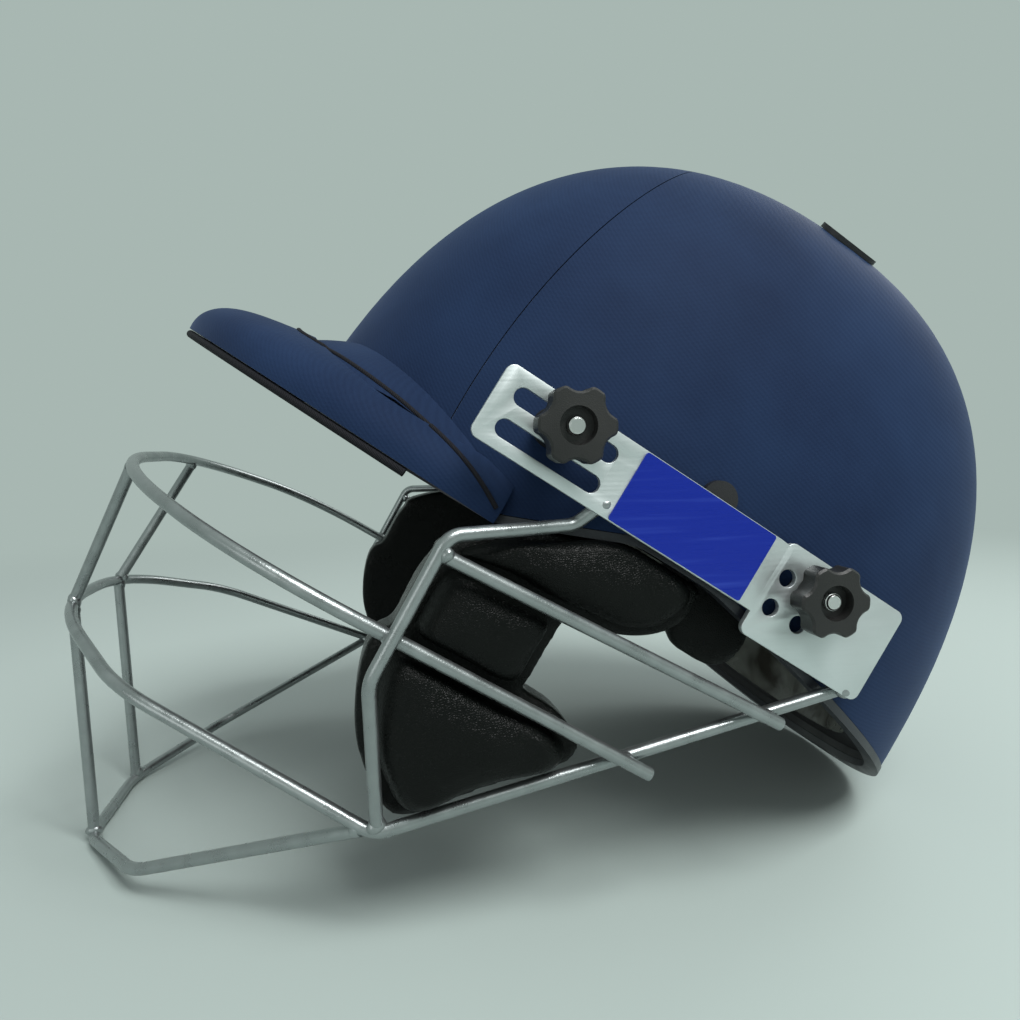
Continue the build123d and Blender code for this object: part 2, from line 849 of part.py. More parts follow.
def gather():
    nodes = {}
    nodes["cover_front"], nodes["cover_rear"] = make_cover()
    nodes["shell"] = make_shell()
    nodes["rim_binding"] = make_binding()
    nodes["front_liner"], nodes["rear_liner"] = make_liners()
    nodes["rear_lining"] = make_rear_lining()
    nodes["brow_pad"] = make_brow_pad()
    nodes["crown_pad"] = make_crown_pad()
    nodes["nape_pad"] = make_nape_pad()
    nodes["brow_band"] = make_brow_band()
    nodes["peak_cover"] = make_peak_cover()
    nodes["peak_board"] = make_peak_board()
    nodes["peak_piping"] = make_piping()
    nodes["top_bar"] = wire_along(top_path())
    nodes["middle_bar"] = wire_along(middle_path())
    nodes["bottom_bar"] = wire_along(bottom_path())
    upper_strut, lower_strut = make_struts()
    paired = {"side_pad": make_side_pad(), "strap_stud": make_stud(),
              "side_plate": make_side_plate(), "label_plate": make_label(),
              "upper_strut": upper_strut, "lower_strut": lower_strut,
              "side_frame": make_side_frame(),
              "cheek_bar": make_cheek_bar(), "cheek_base": make_cheek_base(),
              "upper_cheek_pad": make_upper_cheek_pad(),
              "middle_cheek_pad": cushion(middle_outline(), cheek_pad_inner_x, cheek_pad_height),
              "lower_cheek_pad": cushion(lower_outline(), cheek_pad_inner_x, cheek_pad_height),
              "vent_eyelet": make_vent(left)}
    for place in bolt_places:
        paired[place + "_bolt"] = make_bolt(place)
        paired[place + "_spacer"] = make_spacer(place)
        paired[place + "_washer"] = make_washer(place)
        paired[place + "_knob"] = make_knob(place)
    for name, shape in paired.items():
        for side, side_name in side_names.items():
            nodes[name + "_" + side_name] = mirrored(shape, side)
    return nodes


def stand(nodes):
    turn = Rot(X=-math.degrees(rest_turn()))
    turned = {name: turn * shape for name, shape in nodes.items()}
    box = Compound(list(turned.values())).bounding_box()
    settle = Pos(0, -(box.min.Y + box.max.Y) / 2, -box.min.Z)
    print("rest tilt", round(math.degrees(rest_turn()), 4))
    print("settle", tuple(round(value, 4) for value in settle.position))
    return {name: settle * shape for name, shape in turned.items()}


if __name__ == "__main__":
    for name, shape in stand(gather()).items():
        export_step(shape, "parts/" + name + ".step")
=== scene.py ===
import json
import math

import bpy
from mathutils import Matrix, Vector
from mathutils.bvhtree import BVHTree


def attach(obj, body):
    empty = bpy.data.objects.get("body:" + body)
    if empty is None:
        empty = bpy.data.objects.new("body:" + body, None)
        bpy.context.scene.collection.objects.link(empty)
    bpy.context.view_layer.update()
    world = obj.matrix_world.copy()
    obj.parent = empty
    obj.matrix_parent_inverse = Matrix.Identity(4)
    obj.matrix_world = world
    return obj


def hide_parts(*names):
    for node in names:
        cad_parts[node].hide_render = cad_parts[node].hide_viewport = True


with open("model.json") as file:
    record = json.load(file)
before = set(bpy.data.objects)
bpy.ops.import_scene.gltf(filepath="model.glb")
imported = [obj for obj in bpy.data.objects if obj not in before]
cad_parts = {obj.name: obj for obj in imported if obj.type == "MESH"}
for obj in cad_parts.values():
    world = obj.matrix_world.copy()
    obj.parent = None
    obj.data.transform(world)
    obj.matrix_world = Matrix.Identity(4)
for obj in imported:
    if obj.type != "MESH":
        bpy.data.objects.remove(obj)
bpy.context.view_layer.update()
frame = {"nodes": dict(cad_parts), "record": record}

# Camera
# It stands level with the ear, about 20 cm off the wearer's left side, and looks a little back
# and down along the helmet, as the photographer did.
camera_place = Vector((0.3000, -0.0652, 0.1352))
camera_right = Vector((0.1804, 0.9833, -0.0186))
camera_up = Vector((-0.0784, 0.0332, 0.9963))
camera_lens = 26.47
camera_near = 0.01
bpy.ops.object.camera_add(location=camera_place)
camera = bpy.context.object
camera_axes = Matrix((camera_right, camera_up, camera_right.cross(camera_up))).transposed()
camera.rotation_euler = camera_axes.to_euler()
camera.data.lens = camera_lens
camera.data.clip_start = camera_near
bpy.context.scene.camera = camera
bpy.context.scene.view_settings.view_transform = "Standard"


# Floor, background and light
# A plain pale floor runs out to a background of the same grey green, under a large soft lamp
# above the wearer's left, a weak one in front of the visor and another behind.
floor_size = 14.0
floor_drop = 0.0003
backdrop_colour = (0.392, 0.474, 0.445, 1)
floor_colour = (0.42, 0.50, 0.47, 1)
floor_fade_start = 0.35
floor_fade_end = 1.1
floor_roughness = 0.9
floor_shine = 0.1
sky_colour = (0.95, 0.98, 1.0, 1)
sky_strength = 0.42
lamps = (("top_lamp", (0.95, 0.45, 1.55), 0.9, 32),
         ("front_lamp", (1.35, -1.25, 0.55), 0.9, 3),
         ("rear_lamp", (-0.9, 1.3, 1.0), 0.8, 9))


def deselect_all():
    for other in bpy.context.selected_objects:
        other.select_set(False)


def make_active(piece):
    deselect_all()
    piece.select_set(True)
    bpy.context.view_layer.objects.active = piece


def apply_place(piece):
    make_active(piece)
    bpy.ops.object.transform_apply(location=True, rotation=True, scale=True)


def new_material(name):
    material = bpy.data.materials.new(name)
    material.use_nodes = True
    nodes = material.node_tree.nodes
    return material, nodes, material.node_tree.links, nodes["Principled BSDF"]


def give_material(piece, material):
    piece.data.materials.clear()
    piece.data.materials.append(material)


deselect_all()
bpy.ops.mesh.primitive_circle_add(vertices=96, radius=floor_size / 2, fill_type="NGON",
                                  location=(0, 0, -floor_drop))
floor = bpy.context.object
floor.name = "floor"
floor_material, nodes, links, shader = new_material("floor_paper")
shader.inputs["Base Color"].default_value = floor_colour
shader.inputs["Roughness"].default_value = floor_roughness
shader.inputs["Specular IOR Level"].default_value = floor_shine
away = nodes.new("ShaderNodeVectorMath")
away.operation = "LENGTH"
links.new(nodes.new("ShaderNodeTexCoord").outputs["Object"], away.inputs[0])
fade = nodes.new("ShaderNodeMapRange")
fade.interpolation_type = "SMOOTHSTEP"
fade.inputs["From Min"].default_value = floor_fade_start
fade.inputs["From Max"].default_value = floor_fade_end
links.new(away.outputs["Value"], fade.inputs["Value"])
far_tone = nodes.new("ShaderNodeEmission")
far_tone.inputs["Color"].default_value = backdrop_colour
joined = nodes.new("ShaderNodeMixShader")
links.new(fade.outputs["Result"], joined.inputs["Fac"])
links.new(shader.outputs["BSDF"], joined.inputs[1])
links.new(far_tone.outputs["Emission"], joined.inputs[2])
links.new(joined.outputs["Shader"], nodes["Material Output"].inputs["Surface"])
give_material(floor, floor_material)

world = bpy.context.scene.world or bpy.data.worlds.new("studio")
bpy.context.scene.world = world
world.use_nodes = True
nodes = world.node_tree.nodes
links = world.node_tree.links
nodes.clear()
light_path = nodes.new("ShaderNodeLightPath")
seen_straight = nodes.new("ShaderNodeMath")
seen_straight.operation = "MAXIMUM"
seen_at_all = nodes.new("ShaderNodeMath")
seen_at_all.operation = "MAXIMUM"
links.new(light_path.outputs["Is Camera Ray"], seen_straight.inputs[0])
links.new(light_path.outputs["Is Transmission Ray"], seen_straight.inputs[1])
links.new(seen_straight.outputs[0], seen_at_all.inputs[0])
links.new(light_path.outputs["Is Glossy Ray"], seen_at_all.inputs[1])
sky_light = nodes.new("ShaderNodeBackground")
sky_light.inputs["Color"].default_value = sky_colour
sky_light.inputs["Strength"].default_value = sky_strength
backdrop = nodes.new("ShaderNodeBackground")
backdrop.inputs["Color"].default_value = backdrop_colour
backdrop.inputs["Strength"].default_value = 1
choice = nodes.new("ShaderNodeMixShader")
output = nodes.new("ShaderNodeOutputWorld")
links.new(seen_at_all.outputs[0], choice.inputs["Fac"])
links.new(sky_light.outputs[0], choice.inputs[1])
links.new(backdrop.outputs[0], choice.inputs[2])
links.new(choice.outputs[0], output.inputs["Surface"])

helmet_middle = Vector((0, 0, 0.12))
for name, place, size, power in lamps:
    bpy.ops.object.light_add(type="AREA", location=place)
    lamp = bpy.context.object
    lamp.name = name
    lamp.data.size = size
    lamp.data.energy = power
    lamp.rotation_euler = (helmet_middle - Vector(place)).to_track_quat("-Z", "Y").to_euler()


# Cloth covers, brow band and peak
# A navy woven cloth is stretched and glued over the hard shell and over the peak's board.
# It shows a fine slanting twill, a soft sheen where it turns to the light, and slight fading.
twill_scale = 380
cross_twill_scale = 520
cloth_dark = (0.0065, 0.0165, 0.0470, 1)
cloth_light = (0.0150, 0.0350, 0.0880, 1)
cloth_bump = 0.00004
cloth_bump_strength = 0.5
cloth_sheen = 0.10
cloth_sheen_roughness = 0.45
cloth_sheen_tint = (0.45, 0.62, 1.0, 1)
cloth_roughness = 0.72
cloth_shine = 0.1
cross_twill_turn = (0.4, 0.15, 1.3)
cross_twill_share = 0.45
twill_waver = 1.6
twill_tone_share = 0.14
fading_scale = 26
cloth_names = ("cover_front", "cover_rear", "brow_band", "peak_cover")


def group_socket(group, name, direction, kind, value=None):
    socket = group.interface.new_socket(name=name, in_out=direction, socket_type=kind)
    if value is not None:
        socket.default_value = value


def make_twill_group():
    group = bpy.data.node_groups.new("twill_weave", "ShaderNodeTree")
    group_socket(group, "Vector", "INPUT", "NodeSocketVector")
    group_socket(group, "Twill", "INPUT", "NodeSocketFloat", twill_scale)
    group_socket(group, "Cross", "INPUT", "NodeSocketFloat", cross_twill_scale)
    group_socket(group, "Height", "OUTPUT", "NodeSocketFloat")
    group_socket(group, "Tone", "OUTPUT", "NodeSocketFloat")
    nodes = group.nodes
    links = group.links
    start = nodes.new("NodeGroupInput")
    end = nodes.new("NodeGroupOutput")
    turned = nodes.new("ShaderNodeMapping")
    turned.inputs["Rotation"].default_value = cross_twill_turn
    links.new(start.outputs["Vector"], turned.inputs["Vector"])
    twill = nodes.new("ShaderNodeTexWave")
    twill.bands_direction = "DIAGONAL"
    twill.inputs["Distortion"].default_value = twill_waver
    twill.inputs["Detail Scale"].default_value = 2
    links.new(start.outputs["Vector"], twill.inputs["Vector"])
    links.new(start.outputs["Twill"], twill.inputs["Scale"])
    cross = nodes.new("ShaderNodeTexWave")
    cross.bands_direction = "DIAGONAL"
    links.new(turned.outputs["Vector"], cross.inputs["Vector"])
    links.new(start.outputs["Cross"], cross.inputs["Scale"])
    height = nodes.new("ShaderNodeMath")
    height.operation = "MULTIPLY_ADD"
    height.inputs[1].default_value = cross_twill_share
    links.new(cross.outputs["Fac"], height.inputs[0])
    links.new(twill.outputs["Fac"], height.inputs[2])
    links.new(height.outputs[0], end.inputs["Height"])
    fade = nodes.new("ShaderNodeTexNoise")
    fade.inputs["Scale"].default_value = fading_scale
    fade.inputs["Detail"].default_value = 5
    links.new(start.outputs["Vector"], fade.inputs["Vector"])
    tone = nodes.new("ShaderNodeMath")
    tone.operation = "MULTIPLY_ADD"
    tone.inputs[1].default_value = twill_tone_share
    links.new(height.outputs[0], tone.inputs[0])
    spread = nodes.new("ShaderNodeMapRange")
    spread.inputs["From Min"].default_value = 0.3
    spread.inputs["From Max"].default_value = 0.7
    spread.inputs["To Min"].default_value = -0.05
    spread.inputs["To Max"].default_value = 0.45
    links.new(fade.outputs["Fac"], spread.inputs["Value"])
    links.new(spread.outputs["Result"], tone.inputs[2])
    links.new(tone.outputs[0], end.inputs["Tone"])
    return group


twill_group = make_twill_group()


def object_vector(nodes):
    return nodes.new("ShaderNodeTexCoord").outputs["Object"]


def two_tone(nodes, links, factor, dark, light):
    mix = nodes.new("ShaderNodeMix")
    mix.data_type = "RGBA"
    mix.inputs["A"].default_value = dark
    mix.inputs["B"].default_value = light
    links.new(factor, mix.inputs["Factor"])
    return mix.outputs["Result"]


def bump_from(nodes, links, height, distance, strength):
    bump = nodes.new("ShaderNodeBump")
    bump.inputs["Distance"].default_value = distance
    bump.inputs["Strength"].default_value = strength
    links.new(height, bump.inputs["Height"])
    return bump.outputs["Normal"]


def make_cloth_material():
    material, nodes, links, shader = new_material("navy_cloth")
    weave = nodes.new("ShaderNodeGroup")
    weave.node_tree = twill_group
    links.new(object_vector(nodes), weave.inputs["Vector"])
    colour = two_tone(nodes, links, weave.outputs["Tone"], cloth_dark, cloth_light)
    links.new(colour, shader.inputs["Base Color"])
    ribs = bump_from(nodes, links, weave.outputs["Height"], cloth_bump, cloth_bump_strength)
    links.new(ribs, shader.inputs["Normal"])
    shader.inputs["Roughness"].default_value = cloth_roughness
    shader.inputs["Specular IOR Level"].default_value = cloth_shine
    shader.inputs["Sheen Weight"].default_value = cloth_sheen
    shader.inputs["Sheen Roughness"].default_value = cloth_sheen_roughness
    shader.inputs["Sheen Tint"].default_value = cloth_sheen_tint
    return material


cloth_material = make_cloth_material()
for name in cloth_names:
    give_material(frame["nodes"][name], cloth_material)


# Shell, peak board, eyelets and studs
# The hard shell and the peak's board are black moulded plastic. Only the rim, the vent rings and
# the strap studs show, with a fine moulded texture.
moulded_names = ("shell", "peak_board", "vent_eyelet_left", "vent_eyelet_right",
                 "strap_stud_left", "strap_stud_right")
moulded_colour = (0.012, 0.012, 0.014, 1)
moulded_grain = 1500
moulded_bump = 0.00005
wear_patch_scale = 55


def make_pebble_group():
    group = bpy.data.node_groups.new("pebble_grain", "ShaderNodeTree")
    group_socket(group, "Vector", "INPUT", "NodeSocketVector")
    group_socket(group, "Scale", "INPUT", "NodeSocketFloat", 900)
    group_socket(group, "Height", "OUTPUT", "NodeSocketFloat")
    group_socket(group, "Wear", "OUTPUT", "NodeSocketFloat")
    nodes = group.nodes
    links = group.links
    start = nodes.new("NodeGroupInput")
    end = nodes.new("NodeGroupOutput")
    cells = nodes.new("ShaderNodeTexVoronoi")
    cells.feature = "DISTANCE_TO_EDGE"
    links.new(start.outputs["Vector"], cells.inputs["Vector"])
    links.new(start.outputs["Scale"], cells.inputs["Scale"])
    rounded = nodes.new("ShaderNodeMapRange")
    rounded.interpolation_type = "SMOOTHSTEP"
    rounded.inputs["From Max"].default_value = 0.35
    links.new(cells.outputs["Distance"], rounded.inputs["Value"])
    links.new(rounded.outputs["Result"], end.inputs["Height"])
    patches = nodes.new("ShaderNodeTexNoise")
    patches.inputs["Scale"].default_value = wear_patch_scale
    patches.inputs["Detail"].default_value = 6
    links.new(start.outputs["Vector"], patches.inputs["Vector"])
    links.new(patches.outputs["Fac"], end.inputs["Wear"])
    return group


pebble_group = make_pebble_group()


def add_pebble(nodes, links, scale):
    grain = nodes.new("ShaderNodeGroup")
    grain.node_tree = pebble_group
    grain.inputs["Scale"].default_value = scale
    links.new(object_vector(nodes), grain.inputs["Vector"])
    return grain


def varied_roughness(nodes, links, factor, low, high):
    ranged = nodes.new("ShaderNodeMapRange")
    ranged.inputs["From Min"].default_value = 0.3
    ranged.inputs["From Max"].default_value = 0.7
    ranged.inputs["To Min"].default_value = low
    ranged.inputs["To Max"].default_value = high
    links.new(factor, ranged.inputs["Value"])
    return ranged.outputs["Result"]


def make_moulded_material():
    material, nodes, links, shader = new_material("black_moulding")
    grain = add_pebble(nodes, links, moulded_grain)
    shader.inputs["Base Color"].default_value = moulded_colour
    texture = bump_from(nodes, links, grain.outputs["Height"], moulded_bump, 0.4)
    links.new(texture, shader.inputs["Normal"])
    links.new(varied_roughness(nodes, links, grain.outputs["Wear"], 0.38, 0.55),
              shader.inputs["Roughness"])
    return material


moulded_material = make_moulded_material()
for name in moulded_names:
    give_material(frame["nodes"][name], moulded_material)


# Rim edging, piping and groove shadow
# A dark glossy edging closes the rim over the cloth's turned hem, and a black corded piping is
# sewn along the lower edge of the peak. A thinner black cord in the brow-peak groove is painted
# shadow.
edging_colour = (0.016, 0.018, 0.024, 1)
piping_colour = (0.007, 0.007, 0.010, 1)
piping_twist = 900
piping_bump = 0.0002
piping_roughness = 0.8
piping_shine = 0.25
edging_grain = 2100
edging_bump = 0.00003


def make_edging_material():
    material, nodes, links, shader = new_material("rim_edging")
    grain = add_pebble(nodes, links, edging_grain)
    shader.inputs["Base Color"].default_value = edging_colour
    links.new(varied_roughness(nodes, links, grain.outputs["Wear"], 0.3, 0.5),
              shader.inputs["Roughness"])
    texture = bump_from(nodes, links, grain.outputs["Height"], edging_bump, 0.3)
    links.new(texture, shader.inputs["Normal"])
    return material


def make_piping_material():
    material, nodes, links, shader = new_material("black_piping")
    twist = nodes.new("ShaderNodeTexWave")
    twist.bands_direction = "DIAGONAL"
    twist.inputs["Scale"].default_value = piping_twist
    links.new(object_vector(nodes), twist.inputs["Vector"])
    shader.inputs["Base Color"].default_value = piping_colour
    shader.inputs["Roughness"].default_value = piping_roughness
    shader.inputs["Specular IOR Level"].default_value = piping_shine
    strands = bump_from(nodes, links, twist.outputs["Fac"], piping_bump, 0.6)
    links.new(strands, shader.inputs["Normal"])
    return material


give_material(frame["nodes"]["rim_binding"], make_edging_material())
piping_material = make_piping_material()
give_material(frame["nodes"]["peak_piping"], piping_material)

groove_radius = 0.00075
groove_probe = 0.02
groove_aim = Vector((0, 0.02, 0.05))
groove_front = (0.0000, -0.0907, 0.1808)
groove_side = ((0.0280, -0.0897, 0.1787), (0.0496, -0.0873, 0.1733), (0.0629, -0.0761, 0.1654),
               (0.0744, -0.0667, 0.1575), (0.0819, -0.0577, 0.1501), (0.0887, -0.0491, 0.1419),
               (0.0939, -0.0409, 0.1334), (0.0972, -0.0354, 0.1251), (0.0981, -0.0321, 0.1184))


def outer_surface(names):
    vertices = []
    faces = []
    for name in names:
        mesh = frame["nodes"][name].data
        start = len(vertices)
        vertices += [vertex.co.copy() for vertex in mesh.vertices]
        faces += [[start + index for index in face.vertices] for face in mesh.polygons]
    return BVHTree.FromPolygons(vertices, faces)


# Lays a thin black cord along the brow-peak groove as painted shadow for that groove.
def make_groove_cord():
    mirrored = [(-x, y, z) for x, y, z in reversed(groove_side)]
    places = mirrored + [groove_front] + list(groove_side)
    curve = bpy.data.curves.new("groove_path", "CURVE")
    curve.dimensions = "3D"
    curve.resolution_u = 12
    spline = curve.splines.new("NURBS")
    spline.points.add(len(places) - 1)
    for point, place in zip(spline.points, places):
        point.co = (*place, 1)
    spline.use_endpoint_u = True
    spline.order_u = 4
    rail = bpy.data.objects.new("groove_rail", curve)
    bpy.context.scene.collection.objects.link(rail)
    line = rail.to_mesh()
    surface = outer_surface(("brow_band", "peak_cover"))
    seated = []
    for vertex in line.vertices:
        outward = (vertex.co - groove_aim).normalized()
        hit = surface.ray_cast(vertex.co + outward * groove_probe, -outward)[0]
        seated.append(hit if hit else vertex.co.copy())
    rail.to_mesh_clear()
    bpy.data.objects.remove(rail)
    cord = bpy.data.curves.new("groove_cord", "CURVE")
    cord.dimensions = "3D"
    cord.bevel_depth = groove_radius
    cord.bevel_resolution = 3
    cord.use_fill_caps = True
    run = cord.splines.new("POLY")
    run.points.add(len(seated) - 1)
    for point, place in zip(run.points, seated):
        point.co = (*place, 1)
    piece = bpy.data.objects.new("groove_shadow_cord", cord)
    bpy.context.scene.collection.objects.link(piece)
    make_active(piece)
    bpy.ops.object.convert(target="MESH")
    return bpy.context.object


groove_shadow_cord = make_groove_cord()
make_active(groove_shadow_cord)
bpy.ops.object.shade_smooth()
# The painted groove shadow cord takes the black piping material.
give_material(groove_shadow_cord, piping_material)
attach(groove_shadow_cord, "helmet")


# Foam liner and rear lining
# Two dark foam halves line the shell, and a glossy grey brown sheet with darker blotches
# covers the foam at the rear, where it shows under the rim.
foam_colour = (0.018, 0.018, 0.020, 1)
lining_light = (0.165, 0.180, 0.155, 1)
lining_dark = (0.045, 0.043, 0.034, 1)
lining_blotch_scale = 34
lining_bump = 0.002
foam_grain = 420
foam_bump = 0.0002
foam_roughness = 0.85


def make_foam_material():
    material, nodes, links, shader = new_material("liner_foam")
    grain = add_pebble(nodes, links, foam_grain)
    shader.inputs["Base Color"].default_value = foam_colour
    shader.inputs["Roughness"].default_value = foam_roughness
    cells = bump_from(nodes, links, grain.outputs["Height"], foam_bump, 0.5)
    links.new(cells, shader.inputs["Normal"])
    return material


def make_lining_material():
    material, nodes, links, shader = new_material("rear_lining_sheet")
    blotches = nodes.new("ShaderNodeTexNoise")
    blotches.inputs["Scale"].default_value = lining_blotch_scale
    blotches.inputs["Detail"].default_value = 3
    blotches.inputs["Distortion"].default_value = 0.8
    links.new(object_vector(nodes), blotches.inputs["Vector"])
    edge = nodes.new("ShaderNodeMapRange")
    edge.inputs["From Min"].default_value = 0.40
    edge.inputs["From Max"].default_value = 0.54
    links.new(blotches.outputs["Fac"], edge.inputs["Value"])
    colour = two_tone(nodes, links, edge.outputs["Result"], lining_dark, lining_light)
    links.new(colour, shader.inputs["Base Color"])
    links.new(varied_roughness(nodes, links, blotches.outputs["Fac"], 0.14, 0.34),
              shader.inputs["Roughness"])
    waves = bump_from(nodes, links, blotches.outputs["Fac"], lining_bump, 0.5)
    links.new(waves, shader.inputs["Normal"])
    return material


foam_material = make_foam_material()
give_material(frame["nodes"]["front_liner"], foam_material)
give_material(frame["nodes"]["rear_liner"], foam_material)
give_material(frame["nodes"]["rear_lining"], make_lining_material())


# Pads inside the shell
# Thin foam pads in black leather cloth line the brow, crown, nape and sides. Each is remeshed
# from its plain solid and softened, so that its edges round over and its face crowns a little.
pad_voxel = 0.0017
pad_swell = 0.0005
inner_pad_names = ("brow_pad", "crown_pad", "nape_pad", "side_pad_left", "side_pad_right")
leather_colour = (0.0020, 0.0026, 0.0022, 1)
leather_worn = (0.0040, 0.0048, 0.0042, 1)
leather_grain = 1700
leather_bump = 0.00014
leather_shine = 0.13


def make_leather_material():
    material, nodes, links, shader = new_material("black_leather_cloth")
    grain = add_pebble(nodes, links, leather_grain)
    colour = two_tone(nodes, links, grain.outputs["Wear"], leather_colour, leather_worn)
    links.new(colour, shader.inputs["Base Color"])
    links.new(varied_roughness(nodes, links, grain.outputs["Wear"], 0.22, 0.34),
              shader.inputs["Roughness"])
    pebbles = bump_from(nodes, links, grain.outputs["Height"], leather_bump, 0.6)
    links.new(pebbles, shader.inputs["Normal"])
    shader.inputs["Specular IOR Level"].default_value = leather_shine
    return material


leather_material = make_leather_material()


def copy_of_node(node, name):
    mesh = frame["nodes"][node].data.copy()
    piece = bpy.data.objects.new(name, mesh)
    bpy.context.scene.collection.objects.link(piece)
    piece.matrix_world = Matrix.Identity(4)
    make_active(piece)
    bpy.ops.object.mode_set(mode="EDIT")
    bpy.ops.mesh.select_all(action="SELECT")
    bpy.ops.mesh.remove_doubles(threshold=0.00001)
    bpy.ops.object.mode_set(mode="OBJECT")
    return piece


def apply_modifier(piece, kind, **settings):
    make_active(piece)
    modifier = piece.modifiers.new(kind.lower(), kind)
    for key, value in settings.items():
        setattr(modifier, key, value)
    bpy.ops.object.modifier_apply(modifier=modifier.name)


def remesh_soft(piece, voxel, passes):
    apply_modifier(piece, "REMESH", mode="VOXEL", voxel_size=voxel)
    apply_modifier(piece, "SMOOTH", factor=0.5, iterations=passes)


def finish_pad(piece, node):
    make_active(piece)
    bpy.ops.object.shade_smooth()
    give_material(piece, leather_material)
    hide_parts(node)
    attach(piece, "helmet")


for node in inner_pad_names:
    pad = copy_of_node(node, node + "_cushion")
    remesh_soft(pad, pad_voxel, 8)
    apply_modifier(pad, "DISPLACE", strength=pad_swell, mid_level=0)
    finish_pad(pad, node)


# Cheek pads
# Each side has a flat foam base behind the wires and three plump cushions between them, all
# covered in black grained leather cloth. The cushions are blown up as cloth on a fixed back.
cheek_voxel = 0.0017
cheek_back = 0.0012
cheek_pressure = 3.0
cheek_frames = 16
cheek_swell_limit = 0.0009
cheek_cushions = ("upper_cheek_pad", "middle_cheek_pad", "lower_cheek_pad")
mirror_sides = Matrix.Diagonal((-1, 1, 1, 1))


def blow_up(piece, back_x):
    start = [vertex.co.copy() for vertex in piece.data.vertices]
    pinned = piece.vertex_groups.new(name="back")
    pinned.add([v.index for v in piece.data.vertices if v.co.x < back_x + cheek_back], 1, "REPLACE")
    make_active(piece)
    cloth = piece.modifiers.new("cloth", "CLOTH")
    cloth.settings.quality = 5
    cloth.settings.mass = 0.3
    cloth.settings.use_pressure = True
    cloth.settings.uniform_pressure_force = cheek_pressure
    cloth.settings.vertex_group_mass = "back"
    cloth.settings.effector_weights.gravity = 0
    cloth.collision_settings.use_collision = False
    for number in range(1, cheek_frames + 1):
        bpy.context.scene.frame_set(number)
    bpy.ops.object.modifier_apply(modifier=cloth.name)
    bpy.context.scene.frame_set(1)
    for vertex, before in zip(piece.data.vertices, start):
        moved = vertex.co - before
        if moved.length > cheek_swell_limit:
            vertex.co = before + moved.normalized() * cheek_swell_limit


def mirrored_copy(piece, name):
    twin = bpy.data.objects.new(name, piece.data.copy())
    bpy.context.scene.collection.objects.link(twin)
    twin.data.transform(mirror_sides)
    twin.data.flip_normals()
    return twin


for node in cheek_cushions:
    cushion = copy_of_node(node + "_left", node + "_left_cushion")
    remesh_soft(cushion, cheek_voxel, 2)
    blow_up(cushion, min(vertex.co.x for vertex in cushion.data.vertices))
    apply_modifier(cushion, "SMOOTH", factor=0.5, iterations=2)
    apply_modifier(cushion, "SUBSURF", levels=1, render_levels=1)
    twin = mirrored_copy(cushion, node + "_right_cushion")
    finish_pad(cushion, node + "_left")
    finish_pad(twin, node + "_right")

base = copy_of_node("cheek_base_left", "cheek_base_left_foam")
remesh_soft(base, cheek_voxel, 5)
base_twin = mirrored_copy(base, "cheek_base_right_foam")
finish_pad(base, "cheek_base_left")
finish_pad(base_twin, "cheek_base_right")


# Face guard wires
# Round steel wires are bent, butted and welded into a cage, then painted satin grey. The paint
# is worn a little on the runs that rub, and each weld leaves a small bright lump.
wire_names = ("top_bar", "middle_bar", "bottom_bar", "upper_strut_left", "upper_strut_right",
              "lower_strut_left", "lower_strut_right", "side_frame_left", "side_frame_right",
              "cheek_bar_left", "cheek_bar_right")
wire_colour = (0.24, 0.26, 0.26, 1)
wire_worn = (0.38, 0.41, 0.41, 1)
bead_radius = 0.00215
bead_length = 1.35
bead_roughness = 0.0005
bead_lump_scale = 0.0018
wire_grain = 1300
wire_streak_scale = 170
wire_bump = 0.00004
wire_metal = 0.85


def make_wire_material():
    material, nodes, links, shader = new_material("grey_wire_paint")
    grain = add_pebble(nodes, links, wire_grain)
    streaks = nodes.new("ShaderNodeTexNoise")
    streaks.inputs["Scale"].default_value = wire_streak_scale
    streaks.inputs["Detail"].default_value = 4
    links.new(object_vector(nodes), streaks.inputs["Vector"])
    colour = two_tone(nodes, links, streaks.outputs["Fac"], wire_colour, wire_worn)
    links.new(colour, shader.inputs["Base Color"])
    shader.inputs["Metallic"].default_value = wire_metal
    links.new(varied_roughness(nodes, links, streaks.outputs["Fac"], 0.24, 0.38),
              shader.inputs["Roughness"])
    texture = bump_from(nodes, links, grain.outputs["Height"], wire_bump, 0.35)
    links.new(texture, shader.inputs["Normal"])
    return material


wire_material = make_wire_material()
for name in wire_names:
    give_material(frame["nodes"][name], wire_material)


def overlap_middles(first, second):
    one = copy_of_node(first, "weld_probe")
    two = copy_of_node(second, "weld_probe_partner")
    apply_modifier(one, "BOOLEAN", operation="INTERSECT", solver="EXACT", object=two)
    left = [vertex.co for vertex in one.data.vertices if vertex.co.x > 0]
    right = [vertex.co for vertex in one.data.vertices if vertex.co.x <= 0]
    middles = [sum(places, Vector()) / len(places) for places in (left, right) if places]
    for probe in (one, two):
        bpy.data.objects.remove(probe)
    return middles


weld_places = []
for first, second in frame["record"]["behaviour"]["press_fits"]:
    weld_places += overlap_middles(first, second)

